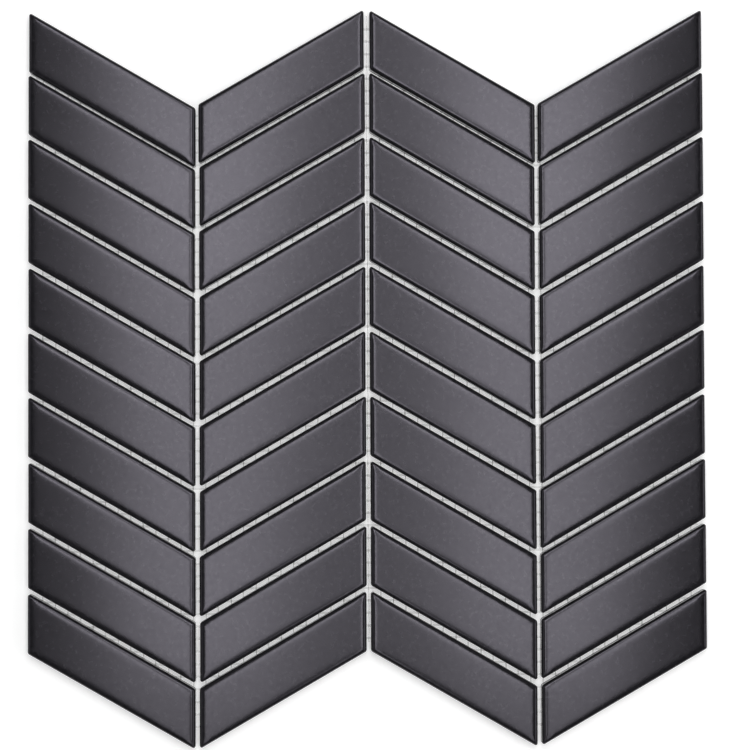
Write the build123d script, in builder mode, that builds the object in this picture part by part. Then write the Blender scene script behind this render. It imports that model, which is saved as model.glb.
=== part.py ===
from build123d import *
import os
from math import cos, floor, radians, sin, tan

# A mosaic sheet of slanted porcelain chips in chevron columns, glued on an open mesh of glass yarn.
# Millimetres. The sheet lies face up in XY, the columns run along Y, and the mesh's underside is at Z = 0.

# Chip
chip_width = 66.4  # across, between the two upright ends
chip_side = 24.0  # length of an upright end
slope = 30.0  # of the two long edges, degrees
chip_thickness = 6.0
edge_radius = 1.7  # rolled edge round the face
corner_radius = 0.75  # of the four corners in plan

# Keys pressed into the chip's back, to hold the adhesive
key_count = 3
key_width = 3.0
key_depth = 0.4
key_pitch = 7.0
key_end_margin = 6.0  # from each upright end of the chip

# Lay-out of the chips
columns = 4
rows = 10
joint = 1.7  # square to the edges of the chips

# Errors of a sheet laid by hand
laying_drift = 0.08  # how far a chip strays from its place
laying_twist = 0.08  # how far a chip turns, degrees
top_row_slip = 0.75  # the top row has slid down this far
bottom_row_slip = 0.25  # the bottom row has slid down this far
first_column_slip = 1.5  # the first column's top chip has slid down this much more
slip_fade = 0.75  # each chip below it has slid this share of the one above
last_column_rise = 0.35  # the last column lies this far up
top_pair_crowding = 0.45  # the top chips of a pair of columns lie this much closer together

# Backing mesh
mesh_pitch = 5.0
warp_width = 1.0  # a twisted pair of yarns
weft_width = 0.8  # a single flat yarn
yarn_thickness = 0.25
mesh_inset = 2.5  # the mesh is trimmed this far inside the chips' outline

column_pitch = chip_width + joint
row_pitch = chip_side + joint / cos(radians(slope))
sheet_width = columns * column_pitch - joint
column_length = rows * row_pitch
column_fall = column_pitch * tan(radians(slope))
weft_top = yarn_thickness
warp_top = weft_top + yarn_thickness


def slanted(width, side, lean):
    """Corners of a centred parallelogram with upright ends; its right end is the lower one for lean 1."""
    fall = lean * width * tan(radians(slope))
    return [
        (-width / 2, (fall - side) / 2),
        (width / 2, (-fall - side) / 2),
        (width / 2, (-fall + side) / 2),
        (-width / 2, (fall + side) / 2),
    ]


def spread(row, column, phase):
    """A repeatable share from -1 to 1 of a laying error, different for each chip."""
    return sin(phase + 1.9 * row + 4.1 * column + 1.7 * row * column)


def zigzag(level, across):
    """Points of the line at a level that falls and rises with the columns, taken left to right or back."""
    return [
        ((k - columns / 2) * column_pitch, level + (column_fall / 2 if k % 2 == 0 else -column_fall / 2))
        for k in across
    ]


os.makedirs("parts", exist_ok=True)

# Chips: a slanted block with a rolled face edge, rounded corners and keys in its back
for row in range(rows):
    for column in range(columns):
        lean = 1 if column % 2 == 0 else -1
        crowding = lean * top_pair_crowding / 2 if row == 0 else 0
        slip = 0
        if row == 0:
            slip += top_row_slip
        if row == rows - 1:
            slip += bottom_row_slip
        if column == 0:
            slip += first_column_slip * slip_fade**row
        if column == columns - 1:
            slip -= last_column_rise
        x = (column - (columns - 1) / 2) * column_pitch + laying_drift * spread(row, column, 0.4) + crowding
        y = ((rows - 1) / 2 - row) * row_pitch + laying_drift * spread(row, column, 2.9) - slip
        turn = laying_twist * spread(row, column, 5.2)
        bed = Plane(Location((x, y, warp_top), (0, 0, turn)))
        with BuildPart() as chip:
            with BuildSketch(bed):
                Polygon(*slanted(chip_width, chip_side, lean), align=None)
            extrude(amount=chip_thickness)
            fillet(chip.faces().sort_by(Axis.Z)[-1].edges(), edge_radius)
            with BuildSketch(bed) as outline:
                Polygon(*slanted(chip_width, chip_side, lean), align=None)
                fillet(outline.vertices(), corner_radius)
            extrude(amount=chip_thickness, mode=Mode.INTERSECT)
            with BuildSketch(bed):
                with GridLocations(0, key_pitch, 1, key_count):
                    Polygon(*slanted(chip_width - 2 * key_end_margin, key_width, lean), align=None)
            extrude(amount=key_depth, mode=Mode.SUBTRACT)
        chip.part.label = f"chip_r{row + 1:02d}_c{column + 1}"
        export_step(chip.part, f"parts/{chip.part.label}.step")

# Backing mesh: level weft yarns under upright warp yarns, both trimmed to the zigzag of the sheet
reach = column_length / 2 - mesh_inset / cos(radians(slope)) - (row_pitch - chip_side) / 2
trim = zigzag(reach, range(columns + 1)) + zigzag(-reach, reversed(range(columns + 1)))
warp_count = 2 * floor((sheet_width / 2 - mesh_inset - warp_width / 2) / mesh_pitch) + 1
weft_count = 2 * floor((reach + column_fall / 2) / mesh_pitch) + 1

with BuildPart() as weft:
    with BuildSketch() as weft_plan:
        with GridLocations(0, mesh_pitch, 1, weft_count):
            Rectangle(sheet_width - 2 * mesh_inset, weft_width)
        Polygon(*trim, align=None, mode=Mode.INTERSECT)
    held_by_warp = [yarn for yarn in weft_plan.faces() if yarn.bounding_box().size.X > 2 * mesh_pitch]
    extrude(held_by_warp, amount=yarn_thickness)
weft.part.label = "mesh_weft_yarns"
export_step(weft.part, "parts/mesh_weft_yarns.step")

with BuildPart() as warp:
    with BuildSketch(Plane.XY.offset(weft_top)) as warp_plan:
        with GridLocations(mesh_pitch, 0, warp_count, 1):
            Rectangle(warp_width, column_length + column_fall)
        Polygon(*trim, align=None, mode=Mode.INTERSECT)
    extrude(amount=yarn_thickness)
warp.part.label = "mesh_warp_yarns"
export_step(warp.part, "parts/mesh_warp_yarns.step")
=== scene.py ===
import math

import bpy
import numpy as np
from mathutils.geometry import convex_hull_2d
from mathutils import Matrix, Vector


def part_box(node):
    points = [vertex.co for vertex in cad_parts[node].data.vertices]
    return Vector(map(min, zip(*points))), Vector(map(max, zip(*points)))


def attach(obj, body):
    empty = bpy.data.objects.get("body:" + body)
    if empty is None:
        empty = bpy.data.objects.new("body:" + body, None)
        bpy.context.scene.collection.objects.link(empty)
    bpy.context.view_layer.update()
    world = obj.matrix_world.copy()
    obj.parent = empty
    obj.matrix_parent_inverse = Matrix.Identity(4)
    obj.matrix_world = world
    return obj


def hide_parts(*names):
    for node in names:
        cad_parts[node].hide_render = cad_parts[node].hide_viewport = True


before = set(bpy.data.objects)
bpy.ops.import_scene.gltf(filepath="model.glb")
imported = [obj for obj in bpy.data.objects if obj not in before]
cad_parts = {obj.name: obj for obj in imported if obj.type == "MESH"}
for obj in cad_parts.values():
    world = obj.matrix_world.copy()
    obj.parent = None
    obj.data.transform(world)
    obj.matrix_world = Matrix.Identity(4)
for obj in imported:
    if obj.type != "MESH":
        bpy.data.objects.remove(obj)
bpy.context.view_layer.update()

MM = 0.001

# Slack in reading the CAD solids and in welding the surfaces made from them
LEVEL_SLACK = 0.01 * MM
PLAN_ROUNDING = 0.001 * MM
KEY_EDGE_GAP = 0.01
CHIP_WELD = 0.002 * MM
YARN_WELD = 0.005 * MM

# Chip: corners in plan, rolled edge of the face, eased edge and keys of the back
SHARP_CORNER_RADIUS = 0.78 * MM
BLUNT_CORNER_RADIUS = 1.2 * MM
ROLL_DEPTH = 1.8 * MM
ROLL_REACH = 0.58 * MM
ROLL_WIDTH = 4.3 * MM
BACK_EASE = 0.35 * MM
BACK_RIM = 1.6 * MM
KEY_WALL = 0.25 * MM

# Warp of a fired chip: its face tilts, less so along the chip, and bows and ripples a little
WARP_SEED = 40
FACE_SINK = 0.10 * MM
FACE_TILT = math.radians(0.16)
TILT_SHARES = (0.6, 1.0)
FACE_CROWN = 0.05 * MM
CROWN_SHARES = (-0.3, 1.0)
FACE_RIPPLE = 0.005 * MM
RIPPLE_LONG = 9 * MM
RIPPLE_SHORT = 7 * MM

# Lines of a chip's mesh
ROLL_RINGS = 13
CORNER_STEPS = 6
FACE_LONG_STEPS = 22
FACE_SHORT_STEPS = 8

# Yarns of the backing mesh. They drift in slow waves, each with its phase by its place in metres
STRAND_WIDTH = 0.46 * MM
STRAND_THICKNESS = 0.17 * MM
STRAND_SWING = 0.19 * MM
STRAND_LIFT = 0.145 * MM
STRAND_DRIFT = 0.10 * MM
STRAND_DRIFT_WAVE = 23 * MM
STRAND_DRIFT_PHASE = 700
WEFT_WIDTH = 1.1 * MM
WEFT_THICKNESS = 0.15 * MM
WEFT_WAVE = 0.02 * MM
WEFT_DRIFT = 0.08 * MM
WEFT_DRIFT_WAVE = 17 * MM
WEFT_DRIFT_PHASE = 900
YARN_SIDES = 5
STEPS_PER_CELL = 4

# Glue: the yarns are bare in the joints and this far in under the chips, then whiten with glue.
# Its films on the chips' backs reach a ragged way from the yarns and end low on the walls
BARE_MARGIN = 1.2 * MM
GLUE_FADE = 1.5 * MM
GLUE_REACH = 1.3 * MM
GLUE_FILM = (0.6 * GLUE_REACH, 1.6 * GLUE_REACH)
GLUE_RAGGED = 1.6 * MM
GLUE_COVER = 0.55
GLUE_TOP = (0.55 * MM, 0.65 * MM)

# Grain: detail and roughness of its two noises, and the part of their range that is spread over 0 to 1
GRAIN_NOISES = {"Cloud": (3.0, 0.55), "Speckle": (4.0, 0.70)}
GRAIN_SPAN = (0.3, 0.7)

# Places of the colour sockets on a Mix node, which has others of the same names
MIX_COLOUR_INPUTS = (6, 7)
MIX_COLOUR_OUTPUT = 2

# Finishes
GLAZE_DARK = (0.0010, 0.0010, 0.0012, 1)
GLAZE_LIGHT = (0.0115, 0.0110, 0.0128, 1)
GLAZE_TINT = (0.903, 0.852, 1.0, 1)
GLAZE_GLOSS = 0.326
GLAZE_PATCHES = 0.16
GLAZE_COAT_ROUGH = 0.17
GLAZE_ROUGH = (0.164, 0.176)
GLAZE_ROUGH_BY_CHIP = 0.008
GLAZE_CLOUD_SCALE = 160
GLAZE_SPECKLE_SCALE = 650
GLAZE_BUMP = 0.25
GLAZE_BUMP_HEIGHT = 0.004 * MM
GLAZE_LINE = 2.4 * MM
GLAZE_LINE_WAVER = 0.5 * MM
GLAZE_LINE_BLUR = 0.2 * MM
BODY_ROUGH = 0.75
BODY_DARK = (0.045, 0.044, 0.046, 1)
BODY_LIGHT = (0.075, 0.074, 0.076, 1)
GLUE_WHITE = (0.42, 0.41, 0.39, 1)
YARN_DARK = (0.68, 0.68, 0.66, 1)
YARN_LIGHT = (0.86, 0.86, 0.84, 1)
YARN_ROUGH = 0.5
YARN_CLOUD_SCALE = 500
FILAMENT_SCALE = 6000
FILAMENT_STRETCH = 0.04
FILAMENT_BUMP = 0.5
FILAMENT_BUMP_HEIGHT = 0.03 * MM
BARE_YARN_COVER = 0.10
GLUED_YARN_COVER = 0.85
GLUED_YARN_PATCHES = 0.8
FLOOR_WHITE = (0.82, 0.82, 0.82, 1)

# White page: the floor just under the sheet, and how much it is lifted near the sheet and far from it
FLOOR_REACH = 6.0
FLOOR_DROP = 0.02 * MM
PAGE_NEAR = 0.32
PAGE_FAR = 0.95
PAGE_NEAR_REACH = 0.28
PAGE_FAR_REACH = 0.75

# Two long soft boxes hang over the sheet, in parts of differing radiance from its foot to its head
STRIP_HEIGHT = 1.0
STRIP_WIDTH = 0.14
STRIP_PLACES = {"left": -0.117, "right": 0.170}
STRIP_PARTS = {
    "foot": (-0.555, -0.235, 3.0),
    "low": (-0.235, 0.10, 6.7),
    "high": (0.10, 0.26, 8.2),
    "head": (0.26, 0.78, 7.2),
}
GAP_RADIANCE = 1.65

# Fill lamps: place, size, radiance and turn in degrees
FILL_BOXES = {
    "ceiling": ((0, 0, 1.6), (2.4, 2.4), 0.15, (0, 0, 0)),
    "side_right": ((0.95, -0.1, 0.75), (0.5, 1.2), 2.1, (0, 52, 0)),
    "side_left": ((-0.95, -0.1, 0.75), (0.5, 1.2), 0.8, (0, -52, 0)),
}

# Studio walls: radiance at the horizon and overhead, and the sines of the elevations between which it falls
WALL_LOW = 0.55
WALL_HIGH = 0.02
WALL_RISE = (0.10, 0.85)

# Camera that took the picture
EYE = (-0.0246, -0.0277, 0.9)
EYE_TURN = (1.7958, -1.7486, -0.2301)
LENS = 107.52
SENSOR = 36


def new_mesh(name, points, quads, triangles=None):
    """A smooth mesh object at the origin from arrays of points, quads and triangles."""
    triangles = np.zeros((0, 3), int) if triangles is None else triangles
    counts = np.concatenate([np.full(len(quads), 4), np.full(len(triangles), 3)])
    mesh = bpy.data.meshes.new(name)
    mesh.vertices.add(len(points))
    mesh.vertices.foreach_set("co", np.asarray(points, np.float32).ravel())
    mesh.loops.add(counts.sum())
    corners = np.concatenate([quads.ravel(), triangles.ravel()])
    mesh.loops.foreach_set("vertex_index", corners.astype(np.int32))
    mesh.polygons.add(len(counts))
    mesh.polygons.foreach_set("loop_start", (np.cumsum(counts) - counts).astype(np.int32))
    mesh.polygons.foreach_set("use_smooth", np.ones(len(counts), bool))
    mesh.update(calc_edges=True)
    mesh.validate()
    piece = bpy.data.objects.new(name, mesh)
    bpy.context.scene.collection.objects.link(piece)
    return piece


def mark_points(piece, name, values):
    """A value on each point of a piece, for its material to read."""
    layer = piece.data.attributes.new(name, "FLOAT", "POINT")
    layer.data.foreach_set("value", np.asarray(values, np.float32))


def grid_quads(rows, columns, closed=False):
    """Quads between points kept row by row in a grid. If closed, each row's last point joins its first."""
    i, j = np.meshgrid(np.arange(rows - 1), np.arange(columns if closed else columns - 1), indexing="ij")
    after = (j + 1) % columns
    corners = [i * columns + j, i * columns + after, (i + 1) * columns + after, (i + 1) * columns + j]
    return np.stack(corners, -1).reshape(-1, 4)


def welded(points, quads):
    """Points in one place become one.

    A quad that loses a corner becomes a triangle, and one that loses more goes.
    """
    keys = np.round(points / CHIP_WELD).astype(np.int64)
    _, first, own = np.unique(keys, axis=0, return_index=True, return_inverse=True)
    quads = own.reshape(-1)[quads]
    repeats = quads == np.roll(quads, -1, axis=1)
    lost = repeats.sum(1)
    triangles = quads[lost == 1][~repeats[lost == 1]].reshape(-1, 3)
    return points[first], quads[lost == 0], triangles


def node_points(node):
    """All points of a CAD node, as an array."""
    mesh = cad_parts[node].data
    points = np.zeros(len(mesh.vertices) * 3, np.float32)
    mesh.vertices.foreach_get("co", points)
    return points.reshape(-1, 3).astype(float)


def crossing(p, d, q, e):
    """Where the line through p along d meets the line through q along e."""
    t = ((q[0] - p[0]) * e[1] - (q[1] - p[1]) * e[0]) / (d[0] * e[1] - d[1] * e[0])
    return p + t * d


def chip_corners(node):
    """A chip's four corners where the lines of its walls meet, lower left first and counter-clockwise.

    The walls are the four longest sides of the hull round the solid's lowest points.
    """
    points = node_points(node)
    low = points[points[:, 2] < points[:, 2].min() + LEVEL_SLACK][:, :2]
    low = np.unique(np.round(low / PLAN_ROUNDING), axis=0) * PLAN_ROUNDING
    hull = low[convex_hull_2d([tuple(p) for p in low])]
    along = np.roll(hull, -1, axis=0) - hull
    walls = np.sort(np.argsort(-np.linalg.norm(along, axis=1))[:4])
    pairs = zip(walls, np.roll(walls, -1))
    corners = np.array([crossing(hull[a], along[a], hull[b], along[b]) for a, b in pairs])
    (x0, y0), (x1, y1) = corners[1] - corners[0], corners[2] - corners[1]
    corners = corners if x0 * y1 > y0 * x1 else corners[::-1]
    left = np.argsort(corners[:, 0])[:2]
    start = left[np.argmin(corners[left, 1])]
    return np.roll(corners, -start, axis=0)


def wall_normals(corners):
    """Outward unit normals, in plan, of the walls that run from each corner to the next."""
    along = np.roll(corners, -1, axis=0) - corners
    return np.stack([along[:, 1], -along[:, 0]], axis=1) / np.linalg.norm(along, axis=1)[:, None]


def shares_of(points, corners):
    """Points as shares along and across a four-sided outline: 0, 0 at its first corner, 1, 1 at its third."""
    axes = np.stack([corners[1] - corners[0], corners[3] - corners[0]], axis=1)
    return np.linalg.solve(axes, (points - corners[0]).reshape(-1, 2).T).T.reshape(points.shape)


def key_edges(node, corners):
    """Where the keys in a chip's back start and end, as shares along and across the chip, and their depth.

    Their floors are the solid's second lowest level. Each edge there is a cluster of nearly equal shares.
    """
    points = node_points(node)
    levels = np.unique(np.round(points[:, 2] / LEVEL_SLACK)) * LEVEL_SLACK
    floor = points[np.abs(points[:, 2] - levels[1]) < 2 * LEVEL_SLACK][:, :2]
    shares = shares_of(floor, corners)
    across = np.sort(shares[:, 1])
    across = across[np.concatenate([[True], np.diff(across) > KEY_EDGE_GAP])]
    along = np.array([shares[:, 0].min(), shares[:, 0].max()])
    return along, across, levels[1] - points[:, 2].min()


def inset_corners(corners, inset):
    """The corners of the outline drawn in by an inset: each moves along the mitre of its two walls."""
    out = wall_normals(corners)
    before = np.roll(out, 1, axis=0)
    return corners - inset * (before + out) / (1 + (before * out).sum(1))[:, None]


def outline_ring(corners, radii, inset, along, across):
    """A ring of points round a chip at an inset: sides with points at the given shares, and arcs between.

    An arc's radius shrinks by the inset until it is a sharp corner.
    """
    out = wall_normals(corners)
    radius = np.maximum(radii - inset, 0)
    centres = np.stack([inset_corners(corners, inset + r)[k] for k, r in enumerate(radius)])
    share = np.linspace(0, 1, CORNER_STEPS + 1)[1:-1, None]
    parts = []
    for k, stations in enumerate((along, across, 1 - along[::-1], 1 - across[::-1])):
        after = (k + 1) % 4
        start = centres[k] + radius[k] * out[k]
        end = centres[after] + radius[after] * out[k]
        parts.append(start + stations[:, None] * (end - start))
        turn = math.acos(out[k] @ out[after])
        arc = (np.sin((1 - share) * turn) * out[k] + np.sin(share * turn) * out[after]) / math.sin(turn)
        parts.append(centres[after] + radius[after] * arc)
    return np.concatenate(parts)


def plateau(value, low, high, wall):
    """1 between low and high and 0 outside, with straight ramps as wide as the wall, centred on both."""
    return np.clip((value - low) / wall + 0.5, 0, 1) * np.clip((high - value) / wall + 0.5, 0, 1)


def chip_surface(node, tilt, crown, phase):
    """A chip as one closed surface.

    Rings of its rounded outline are stacked from the back's rim up the wall and over the rolled edge. There
    the surface drops by the roll depth times one less the root of (one less an exponential of the inset).
    A grid of lines along and across the chip closes the face, a plane with a small tilt, a low crown and a
    faint ripple, and another closes the back, with the keys of the CAD solid sunk into it.
    """
    corners = chip_corners(node)
    bottom, top = (corner[2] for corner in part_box(node))
    falls = corners[0, 1] > corners[1, 1]
    sharp = np.array([False, True] * 2 if falls else [True, False] * 2)
    radii = np.where(sharp, SHARP_CORNER_RADIUS, BLUNT_CORNER_RADIUS)
    length = np.linalg.norm(corners[1] - corners[0])
    side = np.linalg.norm(corners[3] - corners[0])
    key_along, key_across, key_depth = key_edges(node, corners)

    def face_height(plan):
        """Height of the warped face over points in plan."""
        away = plan - corners.mean(0)
        bow = 0.5 - (away[..., 0] / (length / 2)) ** 2
        ripple = np.sin(phase + away[..., 0] / RIPPLE_LONG) * np.cos(phase + away[..., 1] / RIPPLE_SHORT)
        return top - FACE_SINK + away @ tilt + crown * bow + FACE_RIPPLE * ripple

    rim = inset_corners(corners, BACK_RIM)
    rim_start, rim_end = shares_of(rim[0], corners), shares_of(rim[2], corners)

    def lines(count, edges, axis, span):
        """Even lines over the rim's reach along one axis, with two more at each key edge, a wall apart."""
        walls = (edges[:, None] + np.array([-0.5, 0.5]) * KEY_WALL / span).ravel()
        walls = (walls - rim_start[axis]) / (rim_end[axis] - rim_start[axis])
        return np.unique(np.concatenate([np.linspace(0, 1, count + 1), walls]))

    along = lines(FACE_LONG_STEPS, key_along, 0, length)
    across = lines(FACE_SHORT_STEPS, key_across, 1, side)

    roll_insets = ROLL_WIDTH * np.linspace(0, 1, ROLL_RINGS) ** 2
    roll_drop = ROLL_DEPTH * (1 - np.sqrt(1 - np.exp(-roll_insets / ROLL_REACH)))
    roll_drop[-1] = 0
    rings, heights = [], []
    for inset, height in ((BACK_RIM, bottom), (BACK_EASE, bottom), (0, bottom + BACK_EASE)):
        rings.append(outline_ring(corners, radii, inset, along, across))
        heights.append(np.full(len(rings[-1]), height))
    for inset, drop in zip(roll_insets, roll_drop):
        rings.append(outline_ring(corners, radii, inset, along, across))
        heights.append(face_height(rings[-1]) - drop)
    wall = np.dstack([np.stack(rings), np.stack(heights)])

    s, t = np.meshgrid(along, across, indexing="ij")

    def plan_grid(inset):
        """The lines along and across, laid over the outline drawn in by an inset."""
        first, second, third, fourth = inset_corners(corners, inset)
        near = first + s[..., None] * (second - first)
        far = fourth + s[..., None] * (third - fourth)
        return near + t[..., None] * (far - near)

    face_plan, back_plan = plan_grid(ROLL_WIDTH), plan_grid(BACK_RIM)
    shares = shares_of(back_plan, corners)
    in_key = sum(plateau(shares[..., 1], *edges, KEY_WALL / side) for edges in key_across.reshape(-1, 2))
    in_key = in_key * plateau(shares[..., 0], *key_along, KEY_WALL / length)
    face = np.dstack([face_plan, face_height(face_plan)])
    back = np.dstack([back_plan, bottom + key_depth * in_key])

    cells = grid_quads(len(along), len(across))
    face_start = wall.shape[0] * wall.shape[1]
    back_start = face_start + face.shape[0] * face.shape[1]
    points = np.concatenate([part.reshape(-1, 3) for part in (wall, face, back)])
    quads = [grid_quads(*wall.shape[:2], closed=True), cells[:, ::-1] + face_start, cells + back_start]
    return welded(points, np.concatenate(quads))


def yarn_boxes(node):
    """The lowest and highest corner of each separate yarn in a mesh node.

    Points in one place are one. Points that share a triangle take the lowest of their labels, over and over,
    until none changes.
    """
    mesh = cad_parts[node].data
    mesh.calc_loop_triangles()
    triangles = np.zeros(len(mesh.loop_triangles) * 3, np.int32)
    mesh.loop_triangles.foreach_get("vertices", triangles)
    points = node_points(node)
    _, own = np.unique(np.round(points / YARN_WELD).astype(np.int64), axis=0, return_inverse=True)
    own = own.reshape(-1)
    triangles = own[triangles].reshape(-1, 3)
    label, last = np.arange(own.max() + 1), None
    while last is None or (label != last).any():
        last = label.copy()
        np.minimum.at(label, triangles.ravel(), last[triangles].min(1).repeat(3))
    names, index = np.unique(label[own], return_inverse=True)
    lowest = np.full((len(names), 3), np.inf)
    highest = -lowest
    np.minimum.at(lowest, index, points)
    np.maximum.at(highest, index, points)
    return lowest, highest


def yarn_tubes(name, paths, across, width, thickness):
    """Yarns as one mesh: a wide thin ellipse carried along each path, with closed ends."""
    angle = np.linspace(0, 2 * math.pi, YARN_SIDES, endpoint=False)
    section = np.cos(angle)[:, None] * np.array(across) * width / 2
    section = section + np.sin(angle)[:, None] * np.array([0, 0, thickness / 2])
    fan = np.arange(1, YARN_SIDES - 1)
    end = np.stack([np.zeros_like(fan), fan + 1, fan], -1)
    points, quads, triangles, start = [], [], [], 0
    for path in paths:
        points.append((path[:, None] + section).reshape(-1, 3))
        quads.append(grid_quads(len(path), YARN_SIDES, closed=True) + start)
        last = start + (len(path) - 1) * YARN_SIDES
        triangles += [end + start, end[:, ::-1] + last]
        start = last + YARN_SIDES
    points, quads, triangles = (np.concatenate(part) for part in (points, quads, triangles))
    runs = paths[0][-1] - paths[0][0]
    if runs @ np.cross(across, [0, 0, 1]) < 0:
        quads, triangles = quads[:, ::-1], triangles[:, ::-1]
    return new_mesh(name, points, quads, triangles)


def glued_share(plan, outlines):
    """How far points lie under the chips: 0 in the joints and near the walls, 1 well inside an outline."""
    depth = np.full(len(plan), -np.inf)
    for corners in outlines:
        inside = [(corner - plan) @ out for corner, out in zip(corners, wall_normals(corners))]
        depth = np.maximum(depth, np.min(inside, axis=0))
    return np.clip((depth - BARE_MARGIN) / GLUE_FADE, 0, 1)


def stations(low, high, pitch):
    """Even places from low to high, about STEPS_PER_CELL to a mesh cell."""
    return np.linspace(low, high, round((high - low) / pitch * STEPS_PER_CELL) + 1)


def backing_mesh(outlines):
    """The backing mesh and its pitch.

    Level weft yarns lie in the middle of its thickness. Warp yarns are pairs of strands that turn half round
    each other in each cell, one over and one under each weft yarn. All stray a little along slow sine waves.
    """
    warp_low, warp_high = yarn_boxes("mesh_warp_yarns")
    weft_low, weft_high = yarn_boxes("mesh_weft_yarns")
    middle = (warp_high[:, 2].max() + weft_low[:, 2].min()) / 2
    pitch = np.median(np.diff(np.sort(warp_low[:, 0])))
    wefts, left, right = [], [], []
    for low, high in zip(weft_low, weft_high):
        x = stations(low[0], high[0], pitch)
        y = (low[1] + high[1]) / 2 + WEFT_DRIFT * np.sin(x / WEFT_DRIFT_WAVE + low[1] * WEFT_DRIFT_PHASE)
        wefts.append(np.column_stack([x, y, middle + WEFT_WAVE * np.sin(math.pi * x / pitch)]))
    for low, high in zip(warp_low, warp_high):
        x = (low[0] + high[0]) / 2
        y = stations(low[1], high[1], pitch)
        turn = math.pi * y / pitch + math.pi / 2
        drift = STRAND_DRIFT * np.sin(y / STRAND_DRIFT_WAVE + x * STRAND_DRIFT_PHASE)
        for side in (1, -1):
            swing, lift = side * STRAND_SWING * np.cos(turn), side * STRAND_LIFT * np.sin(turn)
            half = left if x < -pitch / 4 else right
            half.append(np.column_stack([x + drift + swing, y, middle + lift]))
    pieces = {
        "mesh_weft": yarn_tubes("mesh_weft", wefts, (0, 1, 0), WEFT_WIDTH, WEFT_THICKNESS),
        "mesh_warp_left": yarn_tubes("mesh_warp_left", left, (1, 0, 0), STRAND_WIDTH, STRAND_THICKNESS),
        "mesh_warp_right": yarn_tubes("mesh_warp_right", right, (1, 0, 0), STRAND_WIDTH, STRAND_THICKNESS),
    }
    for piece in pieces.values():
        points = np.zeros(len(piece.data.vertices) * 3, np.float32)
        piece.data.vertices.foreach_get("co", points)
        mark_points(piece, "glued", glued_share(points.reshape(-1, 3)[:, :2], outlines))
    return pieces, pitch


def empty_tree(owner):
    """The node tree of a material or a world, with nothing in it."""
    owner.use_nodes = True
    owner.node_tree.nodes.clear()
    return owner.node_tree


def add(tree, kind, **settings):
    """A node with its properties, or the values of its sockets, set by name."""
    node = tree.nodes.new(kind)
    for name, value in settings.items():
        if name in node.inputs:
            node.inputs[name].default_value = value
        else:
            setattr(node, name, value)
    return node


def plug(tree, value, socket):
    """Links an output to a socket, or sets the socket to a plain value."""
    if isinstance(value, bpy.types.NodeSocket):
        tree.links.new(value, socket)
    else:
        socket.default_value = value


def sums(tree, operation, *values):
    """The result of a Math node on outputs and plain numbers."""
    node = add(tree, "ShaderNodeMath", operation=operation)
    for value, socket in zip(values, node.inputs):
        plug(tree, value, socket)
    return node.outputs[0]


def ramp(tree, value, low, high, to_low=0.0, to_high=1.0):
    """A value carried from one range to another, held at the ends."""
    node = add(tree, "ShaderNodeMapRange")
    for name, limit in (("From Min", low), ("From Max", high), ("To Min", to_low), ("To Max", to_high)):
        plug(tree, limit, node.inputs[name])
    tree.links.new(value, node.inputs["Value"])
    return node.outputs["Result"]


def blend(tree, share, first, second):
    """Two colours mixed by a share."""
    node = add(tree, "ShaderNodeMix", data_type="RGBA")
    plug(tree, share, node.inputs["Factor"])
    for value, socket in zip((first, second), MIX_COLOUR_INPUTS):
        plug(tree, value, node.inputs[socket])
    return node.outputs[MIX_COLOUR_OUTPUT]


def grain_group():
    """Grain of glaze and yarn: a soft cloud and a fine speckle, 0 to 1, which stretched is filaments."""
    group = bpy.data.node_groups.new("grain", "ShaderNodeTree")
    group.interface.new_socket("Stretch", in_out="INPUT", socket_type="NodeSocketVector")
    for name in GRAIN_NOISES:
        group.interface.new_socket(name + " Scale", in_out="INPUT", socket_type="NodeSocketFloat")
        group.interface.new_socket(name, in_out="OUTPUT", socket_type="NodeSocketFloat")
    start = group.nodes.new("NodeGroupInput")
    end = group.nodes.new("NodeGroupOutput")
    place = add(group, "ShaderNodeTexCoord")
    stretched = add(group, "ShaderNodeVectorMath", operation="MULTIPLY")
    group.links.new(place.outputs["Object"], stretched.inputs[0])
    group.links.new(start.outputs["Stretch"], stretched.inputs[1])
    for name, (detail, rough) in GRAIN_NOISES.items():
        noise = add(group, "ShaderNodeTexNoise", Detail=detail, Roughness=rough)
        group.links.new(stretched.outputs[0], noise.inputs["Vector"])
        group.links.new(start.outputs[name + " Scale"], noise.inputs["Scale"])
        group.links.new(ramp(group, noise.outputs["Fac"], *GRAIN_SPAN), end.inputs[name])
    return group


def grain_of(tree, grain, stretch, cloud_scale, speckle_scale):
    """The grain placed in a material with its own scales."""
    node = add(tree, "ShaderNodeGroup", node_tree=grain)
    node.inputs["Stretch"].default_value = stretch
    node.inputs["Cloud Scale"].default_value = cloud_scale
    node.inputs["Speckle Scale"].default_value = speckle_scale
    return node.outputs["Cloud"], node.outputs["Speckle"]


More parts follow.
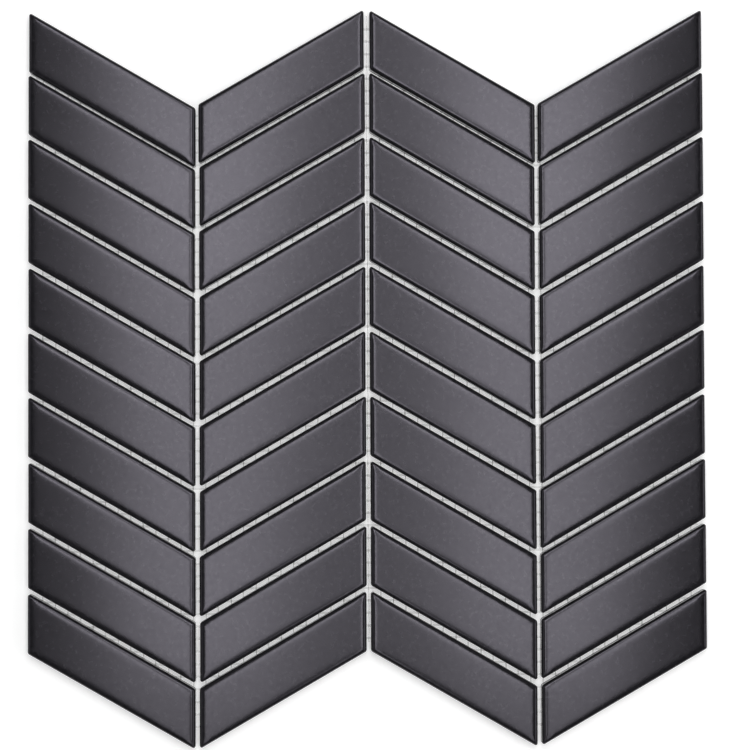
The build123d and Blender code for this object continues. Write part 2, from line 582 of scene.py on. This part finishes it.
def glaze_material(grain, pitch):
    """Matte black glaze, patchy in gloss, that ends in a wavering line on the walls above raw dark body.

    Films of dried glue lie on the back beside the yarns.
    """
    material = bpy.data.materials.new("matte_black_glaze")
    tree = empty_tree(material)
    shader = add(tree, "ShaderNodeBsdfPrincipled")
    shader.inputs["Specular IOR Level"].default_value = GLAZE_GLOSS
    shader.inputs["Coat Roughness"].default_value = GLAZE_COAT_ROUGH
    shader.inputs["Specular Tint"].default_value = GLAZE_TINT
    cloud, speckle = grain_of(tree, grain, (1, 1, 1), GLAZE_CLOUD_SCALE, GLAZE_SPECKLE_SCALE)
    place = add(tree, "ShaderNodeSeparateXYZ")
    tree.links.new(add(tree, "ShaderNodeTexCoord").outputs["Object"], place.inputs[0])
    height = place.outputs["Z"]

    wavering = sums(tree, "MULTIPLY_ADD", cloud, GLAZE_LINE_WAVER, height)
    glazed = ramp(tree, wavering, GLAZE_LINE - GLAZE_LINE_BLUR, GLAZE_LINE + GLAZE_LINE_BLUR)
    beside_warp = sums(tree, "PINGPONG", place.outputs["X"], pitch / 2)
    beside_weft = sums(tree, "PINGPONG", place.outputs["Y"], pitch / 2)
    from_yarn = sums(tree, "MINIMUM", beside_warp, beside_weft)
    from_yarn = sums(tree, "MULTIPLY_ADD", cloud, GLUE_RAGGED, from_yarn)
    glue = ramp(tree, from_yarn, *GLUE_FILM, GLUE_COVER, 0.0)
    glue = sums(tree, "MULTIPLY", glue, ramp(tree, height, *GLUE_TOP, 1.0, 0.0))

    body = blend(tree, glue, blend(tree, speckle, BODY_DARK, BODY_LIGHT), GLUE_WHITE)
    colour = blend(tree, glazed, body, blend(tree, speckle, GLAZE_DARK, GLAZE_LIGHT))
    tree.links.new(colour, shader.inputs["Base Color"])

    tone = add(tree, "ShaderNodeAttribute", attribute_name="chip_tone").outputs["Fac"]
    glaze_rough = ramp(tree, cloud, 0.0, 1.0, *GLAZE_ROUGH)
    glaze_rough = sums(tree, "MULTIPLY_ADD", tone, GLAZE_ROUGH_BY_CHIP, glaze_rough)
    tree.links.new(ramp(tree, glazed, 0.0, 1.0, BODY_ROUGH, glaze_rough), shader.inputs["Roughness"])
    patches = ramp(tree, speckle, 0.0, 1.0, 0.0, sums(tree, "MULTIPLY", glazed, GLAZE_PATCHES))
    tree.links.new(patches, shader.inputs["Coat Weight"])
    bump = add(tree, "ShaderNodeBump", Strength=GLAZE_BUMP, Distance=GLAZE_BUMP_HEIGHT)
    tree.links.new(speckle, bump.inputs["Height"])
    tree.links.new(bump.outputs["Normal"], shader.inputs["Normal"])
    out = add(tree, "ShaderNodeOutputMaterial")
    tree.links.new(shader.outputs["BSDF"], out.inputs["Surface"])
    return material


def yarn_material(name, grain, stretch):
    """Coated glass yarn with filaments along it: nearly clear where bare, whitened where it is glued."""
    material = bpy.data.materials.new(name)
    tree = empty_tree(material)
    shader = add(tree, "ShaderNodeBsdfPrincipled", Roughness=YARN_ROUGH)
    cloud, filaments = grain_of(tree, grain, stretch, YARN_CLOUD_SCALE, FILAMENT_SCALE)
    tree.links.new(blend(tree, filaments, YARN_DARK, YARN_LIGHT), shader.inputs["Base Color"])
    glued = add(tree, "ShaderNodeAttribute", attribute_name="glued").outputs["Fac"]
    patchy = sums(tree, "MULTIPLY", glued, ramp(tree, cloud, 0.0, 1.0, GLUED_YARN_PATCHES, 1.0))
    cover = ramp(tree, patchy, 0.0, 1.0, BARE_YARN_COVER, GLUED_YARN_COVER)
    tree.links.new(cover, shader.inputs["Alpha"])
    bump = add(tree, "ShaderNodeBump", Strength=FILAMENT_BUMP, Distance=FILAMENT_BUMP_HEIGHT)
    tree.links.new(filaments, bump.inputs["Height"])
    tree.links.new(bump.outputs["Normal"], shader.inputs["Normal"])
    out = add(tree, "ShaderNodeOutputMaterial")
    tree.links.new(shader.outputs["BSDF"], out.inputs["Surface"])
    return material


def floor_material():
    """White floor that keeps its shadows. Where seen, it is lifted to a page, more so far from the sheet."""
    material = bpy.data.materials.new("white_floor")
    tree = empty_tree(material)
    matte = add(tree, "ShaderNodeBsdfDiffuse", Color=FLOOR_WHITE)
    path = add(tree, "ShaderNodeLightPath")
    seen = sums(tree, "MAXIMUM", path.outputs["Is Camera Ray"], path.outputs["Is Glossy Ray"])
    seen = sums(tree, "MAXIMUM", seen, path.outputs["Is Transmission Ray"])
    reach = add(tree, "ShaderNodeVectorMath", operation="LENGTH")
    tree.links.new(add(tree, "ShaderNodeTexCoord").outputs["Object"], reach.inputs[0])
    lift = ramp(tree, reach.outputs["Value"], PAGE_NEAR_REACH, PAGE_FAR_REACH, PAGE_NEAR, PAGE_FAR)
    glow = add(tree, "ShaderNodeEmission")
    tree.links.new(sums(tree, "MULTIPLY", seen, lift), glow.inputs["Strength"])
    both = add(tree, "ShaderNodeAddShader")
    tree.links.new(matte.outputs[0], both.inputs[0])
    tree.links.new(glow.outputs[0], both.inputs[1])
    out = add(tree, "ShaderNodeOutputMaterial")
    tree.links.new(both.outputs[0], out.inputs["Surface"])
    return material


def soft_box(name, place, size, radiance, turn=(0, 0, 0)):
    """A rectangular lamp of a given radiance that faces down, unless it is turned by some degrees."""
    light = bpy.data.lights.new(name, "AREA")
    light.shape = "RECTANGLE"
    light.size, light.size_y = size
    light.energy = radiance * math.pi * size[0] * size[1]
    lamp = bpy.data.objects.new(name, light)
    lamp.location = place
    lamp.rotation_euler = [math.radians(a) for a in turn]
    bpy.context.scene.collection.objects.link(lamp)


def studio_world():
    """Dim studio walls all round: dark overhead and paler towards the horizon."""
    world = bpy.data.worlds.new("studio")
    tree = empty_tree(world)
    direction = add(tree, "ShaderNodeSeparateXYZ")
    tree.links.new(add(tree, "ShaderNodeTexCoord").outputs["Generated"], direction.inputs[0])
    back = add(tree, "ShaderNodeBackground")
    glow = ramp(tree, direction.outputs["Z"], *WALL_RISE, WALL_LOW, WALL_HIGH)
    tree.links.new(glow, back.inputs["Strength"])
    out = add(tree, "ShaderNodeOutputWorld")
    tree.links.new(back.outputs[0], out.inputs["Surface"])
    return world


chip_nodes = sorted(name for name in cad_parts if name.startswith("chip_"))
yarn_pieces, yarn_pitch = backing_mesh([chip_corners(node) for node in chip_nodes])
grain = grain_group()

glaze = glaze_material(grain, yarn_pitch)
rng = np.random.default_rng(WARP_SEED)
for node in chip_nodes:
    tilt = np.tan(rng.uniform(-FACE_TILT, FACE_TILT, 2)) * np.array(TILT_SHARES)
    crown = rng.uniform(*CROWN_SHARES) * FACE_CROWN
    points, quads, triangles = chip_surface(node, tilt, crown, rng.uniform(0, 2 * math.pi))
    chip = new_mesh(node + "_glazed", points, quads, triangles)
    mark_points(chip, "chip_tone", np.full(len(points), rng.uniform(-1, 1)))
    chip.data.materials.append(glaze)
    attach(chip, "root")
    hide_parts(node)

weft_yarn = yarn_material("glass_weft_yarn", grain, (FILAMENT_STRETCH, 1, 1))
warp_yarn = yarn_material("glass_warp_yarn", grain, (1, FILAMENT_STRETCH, 1))
for name, piece in yarn_pieces.items():
    is_weft = name == "mesh_weft"
    piece.data.materials.append(weft_yarn if is_weft else warp_yarn)
    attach(piece, "root")
    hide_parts("mesh_weft_yarns" if is_weft else "mesh_warp_yarns")

floor_corners = FLOOR_REACH * np.array([[-1, -1, 0], [1, -1, 0], [1, 1, 0], [-1, 1, 0]])
floor = new_mesh("floor", floor_corners - [0, 0, FLOOR_DROP], np.array([[0, 1, 2, 3]]))
floor.data.materials.append(floor_material())

for side, x in STRIP_PLACES.items():
    for part, (start, end, radiance) in STRIP_PARTS.items():
        middle = (x, (start + end) / 2, STRIP_HEIGHT)
        soft_box(f"strip_{side}_{part}", middle, (STRIP_WIDTH, end - start), radiance)
gap_start, gap_end = STRIP_PARTS["low"][0], STRIP_PARTS["head"][1]
gap_width = STRIP_PLACES["right"] - STRIP_PLACES["left"] - STRIP_WIDTH
gap_middle = (sum(STRIP_PLACES.values()) / 2, (gap_start + gap_end) / 2, STRIP_HEIGHT)
soft_box("between_strips", gap_middle, (gap_width, gap_end - gap_start), GAP_RADIANCE)
for name, (place, size, radiance, turn) in FILL_BOXES.items():
    soft_box(name, place, size, radiance, turn)

bpy.context.scene.world = studio_world()

camera = bpy.data.cameras.new("camera")
camera.lens = LENS
camera.sensor_width = SENSOR
eye = bpy.data.objects.new("camera", camera)
eye.location = EYE
eye.rotation_euler = [math.radians(a) for a in EYE_TURN]
bpy.context.scene.collection.objects.link(eye)
bpy.context.scene.camera = eye
bpy.context.scene.view_settings.view_transform = "Standard"
